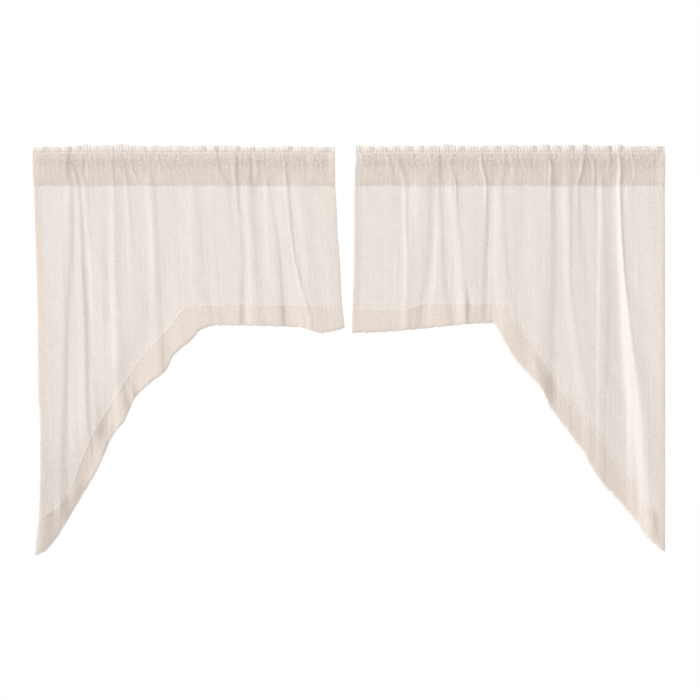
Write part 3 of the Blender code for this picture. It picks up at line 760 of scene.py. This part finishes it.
# shares of the threads' pitch
THREAD_WIDTH = 0.55
SLUB_WIDTH = 0.30        # how much a thread's width varies along it
PATCHES = 0.40           # how unevenly the threads lie
HEM_SPREAD = 0.20        # how much further half a thread spreads in a pressed hem

HEM_PAINTED_LIGHT = 0.085         # painted light: how much lighter the colour is made per unit of spread, standing in for light that the layer behind sends back
HEADER_PAINTED_LIGHT = 0.40       # painted light: how far the header's colour is mixed towards the pale painted colour, for each unit of spread above a hem's
THROUGH = 0.16           # share of the light on a thread that goes through it

GAUZE_SHADE = (0.66, 0.582, 0.523, 1.0)
GAUZE_PALE = (0.73, 0.65, 0.588, 1.0)
# the pale colour of the header's painted light
GAUZE_PAINTED_LIGHT = (0.86, 0.84, 0.82, 1.0)
THREAD_SHADE = (0.86, 0.81, 0.74, 1.0)
THREAD_PALE = (0.95, 0.92, 0.87, 1.0)
PAINT_SHADE = (0.46, 0.46, 0.454, 1.0)
PAINT_PALE = (0.58, 0.58, 0.572, 1.0)
FLOOR_PALE = (0.8, 0.8, 0.8, 1.0)
FLOOR_GLOW = (1.0, 0.98, 0.965, 1.0)


class Tree:
    """Short names for adding and joining shader nodes."""

    def __init__(self, name):
        self.material = bpy.data.materials.new(name)
        self.material.use_nodes = True
        self.nodes = self.material.node_tree.nodes
        self.links = self.material.node_tree.links
        self.nodes.clear()

    def add(self, kind, inputs=None, **settings):
        node = self.nodes.new(kind)
        for key, value in settings.items():
            setattr(node, key, value)
        for key, value in (inputs or {}).items():
            if isinstance(value, bpy.types.NodeSocket):
                self.links.new(value, node.inputs[key])
            else:
                node.inputs[key].default_value = value
        return node

    def math(self, operation, a, b=0.0, c=0.0):
        return self.add("ShaderNodeMath", {0: a, 1: b, 2: c}, operation=operation).outputs[0]

    def noise(self, vector, scale, detail=2.0, roughness=0.5):
        inputs = {"Vector": vector, "Scale": scale, "Detail": detail, "Roughness": roughness}
        return self.add("ShaderNodeTexNoise", inputs).outputs[0]

    def ease(self, value, low, high, to_low=0.0, to_high=1.0):
        """A soft step between two values."""
        inputs = {0: value, 1: low, 2: high, 3: to_low, 4: to_high}
        return self.add("ShaderNodeMapRange", inputs, interpolation_type="SMOOTHSTEP").outputs[0]

    def stretched(self, vector, along_u, along_v):
        inputs = {0: vector, 1: (along_u, along_v, 1.0)}
        return self.add("ShaderNodeVectorMath", inputs, operation="MULTIPLY").outputs[0]

    def colour(self, value, low, shade, high, pale):
        """A colour that goes from shade, where the value is low, to pale, where it is high."""
        node = self.add("ShaderNodeValToRGB", {0: value})
        ends = node.color_ramp.elements
        ends[0].position, ends[0].color = low, shade
        ends[1].position, ends[1].color = high, pale
        return node.outputs[0]

    def finish(self, surface):
        self.add("ShaderNodeOutputMaterial", {"Surface": surface.outputs[0]})
        return self.material


def weave(tree, flat, dense):
    """Height of the plain weave's threads: 1 on a thread's middle, 0 at its side, and less over a hole."""
    wander = tree.noise(flat, 60.0)
    spread = tree.math("MULTIPLY_ADD", dense, HEM_SPREAD, (THREAD_WIDTH - SLUB_WIDTH - PATCHES) / 2)
    spread = tree.math("MULTIPLY_ADD", tree.noise(flat, 190.0, 2.0, 0.6), PATCHES, spread)
    split = tree.add("ShaderNodeSeparateXYZ", {0: flat})

    def thread(coordinate, slub):
        shifted = tree.math("MULTIPLY_ADD", wander, WANDER, coordinate)
        phase = tree.math("PINGPONG", tree.math("MULTIPLY", shifted, THREADS), 0.5)
        half = tree.math("MULTIPLY_ADD", slub, SLUB_WIDTH, spread)
        return tree.math("SUBTRACT", 1.0, tree.math("DIVIDE", phase, half))

    warp = thread(split.outputs[0], tree.noise(tree.stretched(flat, THREADS, SLUBS), 1.0, 3.0))
    weft = thread(split.outputs[1], tree.noise(tree.stretched(flat, SLUBS, THREADS), 1.0, 3.0))
    return tree.math("MAXIMUM", warp, weft)


def gauze_colour(tree, flat, dense):
    """Natural cream, a little uneven, with painted light that makes sewn layers lighter and the header paler.
    """
    streak = tree.math("ADD", tree.noise(tree.stretched(flat, 420.0, 60.0), 1.0, 1.0),
                       tree.noise(tree.stretched(flat, 60.0, 420.0), 1.0, 1.0))
    specks = tree.math("MULTIPLY", tree.noise(flat, 210.0), 0.8)
    cloth = tree.colour(tree.math("MULTIPLY_ADD", streak, 0.35, specks), 0.56, GAUZE_SHADE, 0.89, GAUZE_PALE)
    # painted light: the colour is made lighter where the threads are spread, in the hems, the pocket and the
    # header
    lift = tree.math("MULTIPLY_ADD", dense, HEM_PAINTED_LIGHT, 1.0)
    cloth_with_painted_light = tree.add("ShaderNodeVectorMath", {0: cloth, "Scale": lift}, operation="SCALE").outputs[0]
    # painted light: the header is mixed towards a pale colour, as if it were more brightly lit
    painted_header_share = tree.math("MAXIMUM", tree.math("SUBTRACT", dense, 1.0), 0.0)
    pale = tree.math("MULTIPLY", painted_header_share, HEADER_PAINTED_LIGHT)
    return tree.add("ShaderNodeMixRGB", {0: pale, 1: cloth_with_painted_light, 2: GAUZE_PAINTED_LIGHT}).outputs[0]


def gauze_material():
    """Open plain-weave gauze: threads with slubs, holes between them, light through them, and a soft bump."""
    tree = Tree("gauze")
    flat = tree.add("ShaderNodeUVMap", uv_map="flat").outputs[0]
    dense = tree.add("ShaderNodeAttribute", attribute_name="dense").outputs["Fac"]
    height = weave(tree, flat, dense)
    colour = gauze_colour(tree, flat, dense)
    bump = tree.add("ShaderNodeBump", {"Strength": 0.35, "Distance": 0.0004, "Height": height})
    surface = tree.add("ShaderNodeBsdfPrincipled", {
        "Base Color": colour, "Roughness": 0.92, "Normal": bump.outputs[0],
        "Sheen Weight": 0.4, "Sheen Roughness": 0.4})
    through = tree.add("ShaderNodeBsdfTranslucent", {"Color": colour, "Normal": bump.outputs[0]})
    thread = tree.add("ShaderNodeMixShader", {0: THROUGH, 1: surface.outputs[0], 2: through.outputs[0]})
    hole = tree.add("ShaderNodeBsdfTransparent")
    cover = tree.ease(height, -0.12, 0.12)
    return tree.finish(tree.add("ShaderNodeMixShader", {0: cover, 1: hole.outputs[0], 2: thread.outputs[0]}))


def thread_material():
    """Twisted sewing thread, a little lighter than the gauze."""
    tree = Tree("sewing_thread")
    place = tree.add("ShaderNodeNewGeometry").outputs["Position"]
    colour = tree.colour(tree.noise(place, 900.0), 0.3, THREAD_SHADE, 0.7, THREAD_PALE)
    return tree.finish(tree.add("ShaderNodeBsdfPrincipled", {"Base Color": colour, "Roughness": 0.7}))


def rod_material():
    """Turned wood under light grey paint: faint grain along the rod and an uneven satin."""
    tree = Tree("rod_paint")
    place = tree.add("ShaderNodeNewGeometry").outputs["Position"]
    grain = tree.noise(tree.stretched(place, 6.0, 320.0), 1.0, 4.0, 0.6)
    tone = tree.math("MULTIPLY_ADD", grain, 0.6, tree.math("MULTIPLY", tree.noise(place, 14.0), 0.4))
    bump = tree.add("ShaderNodeBump", {"Strength": 0.2, "Distance": 0.0003, "Height": grain})
    return tree.finish(tree.add("ShaderNodeBsdfPrincipled", {
        "Base Color": tree.colour(tone, 0.3, PAINT_SHADE, 0.7, PAINT_PALE),
        "Roughness": tree.ease(tone, 0.3, 0.7, 0.52, 0.4), "Normal": bump.outputs[0]}))


def floor_material():
    """A pale floor that glows a little, so that light reaches the cloth from below too."""
    tree = Tree("pale_floor")
    return tree.finish(tree.add("ShaderNodeBsdfPrincipled", {
        "Base Color": FLOOR_PALE, "Roughness": 0.8, "Emission Color": FLOOR_GLOW, "Emission Strength": 0.5}))


# -------- the object

GAUZE = gauze_material()
THREAD = thread_material()
ROD = rod_material()

PANELS = {
    "left": Panel(Folds(LEFT_FACES, LEFT_TAIL_SIDE, LEFT_SHORT_SIDE),
                  LEFT_TUCKS, LEFT_HEADER, LEFT_EDGE, LEFT_HEM, seed=11),
    "right": Panel(Folds(RIGHT_FACES, RIGHT_SHORT_SIDE, RIGHT_TAIL_SIDE),
                   RIGHT_TUCKS, RIGHT_HEADER, RIGHT_EDGE, RIGHT_HEM, seed=29),
}


def dress(piece, material):
    """Puts a panel's piece in the scene, in its material, on the body of the drape."""
    bpy.context.scene.collection.objects.link(piece)
    piece.data.materials.append(material)
    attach(piece, "root")
    return piece


for side, panel in PANELS.items():
    cloth = dress(panel_sheet(f"{side}_gauze", panel), GAUZE)
    sewing = dress(panel_stitching(f"{side}_stitching", panel), THREAD)
    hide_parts(f"{side}_panel")
    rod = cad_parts[f"{side}_rod"]
    rod.data.materials.clear()
    rod.data.materials.append(ROD)

# -------- stage, light and camera

VIEW_WIDTH = 1.5806      # of the picture at the drape
VIEW_CENTRE = (0.0016, -0.429)
CAMERA_DISTANCE = 6.0
CLIP_END = 200.0
SENSOR = 36.0            # the camera's own width, in millimetres
FLOOR_HEIGHT = -2.0
FLOOR_SIZE = 10.0        # it ends below the picture
WORLD_LIGHT = 0.39       # on the cloth; the backdrop itself is seen as white
WHITE = (1.0, 1.0, 1.0)
COOL_WHITE = (0.975, 1.0, 1.02)


class Light(NamedTuple):
    """A square soft light."""

    name: str
    place: tuple
    aim: tuple
    size: float
    power: float    # watts
    colour: tuple


LIGHTS = (
    Light("key", (-17.8, -7.6, 10.0), (0.0, 0.0, -0.4), 6.0, 4400.0, COOL_WHITE),
    Light("overhead", (0.0, -2.0, 1.5), (0.0, 0.0, -0.1), 1.6, 22.0, WHITE),
    Light("rear", (17.0, 8.0, 7.0), (0.0, 0.0, -0.4), 6.0, 1800.0, WHITE),
)


def add_floor():
    bpy.ops.mesh.primitive_plane_add(size=FLOOR_SIZE, location=(0.0, 0.0, FLOOR_HEIGHT))
    floor = bpy.context.object
    floor.name = "floor"
    floor.data.materials.append(floor_material())


def add_world():
    """An even white backdrop, which lights the cloth with less than it shows."""
    world = bpy.data.worlds.new("studio")
    bpy.context.scene.world = world
    world.use_nodes = True
    nodes, links = world.node_tree.nodes, world.node_tree.links
    nodes.clear()
    lighting, seen = nodes.new("ShaderNodeBackground"), nodes.new("ShaderNodeBackground")
    for background, strength in ((lighting, WORLD_LIGHT), (seen, 1.0)):
        background.inputs["Color"].default_value = (*WHITE, 1.0)
        background.inputs["Strength"].default_value = strength
    path, chooser = nodes.new("ShaderNodeLightPath"), nodes.new("ShaderNodeMixShader")
    links.new(path.outputs["Is Camera Ray"], chooser.inputs[0])
    links.new(lighting.outputs[0], chooser.inputs[1])
    links.new(seen.outputs[0], chooser.inputs[2])
    links.new(chooser.outputs[0], nodes.new("ShaderNodeOutputWorld").inputs[0])


def add_light(light):
    data = bpy.data.lights.new(light.name, "AREA")
    data.shape = "SQUARE"
    data.size = light.size
    data.energy = light.power
    data.color = light.colour
    lamp = bpy.data.objects.new(light.name, data)
    bpy.context.scene.collection.objects.link(lamp)
    lamp.location = light.place
    x, y, z = np.array(light.aim) - np.array(light.place)
    lamp.rotation_euler = (math.atan2(math.hypot(x, y), -z), 0.0, math.atan2(-x, y))


def add_camera():
    """A camera square on to the front, with the lens that the view's width asks for."""
    lens = bpy.data.cameras.new("camera")
    lens.sensor_width = SENSOR
    lens.lens = SENSOR * CAMERA_DISTANCE / VIEW_WIDTH
    lens.clip_end = CLIP_END
    camera = bpy.data.objects.new("camera", lens)
    bpy.context.scene.collection.objects.link(camera)
    camera.location = (VIEW_CENTRE[0], -CAMERA_DISTANCE, VIEW_CENTRE[1])
    camera.rotation_euler = (math.pi / 2, 0.0, 0.0)
    bpy.context.scene.camera = camera


add_floor()
add_world()
for light in LIGHTS:
    add_light(light)
add_camera()
bpy.context.scene.view_settings.view_transform = "Standard"
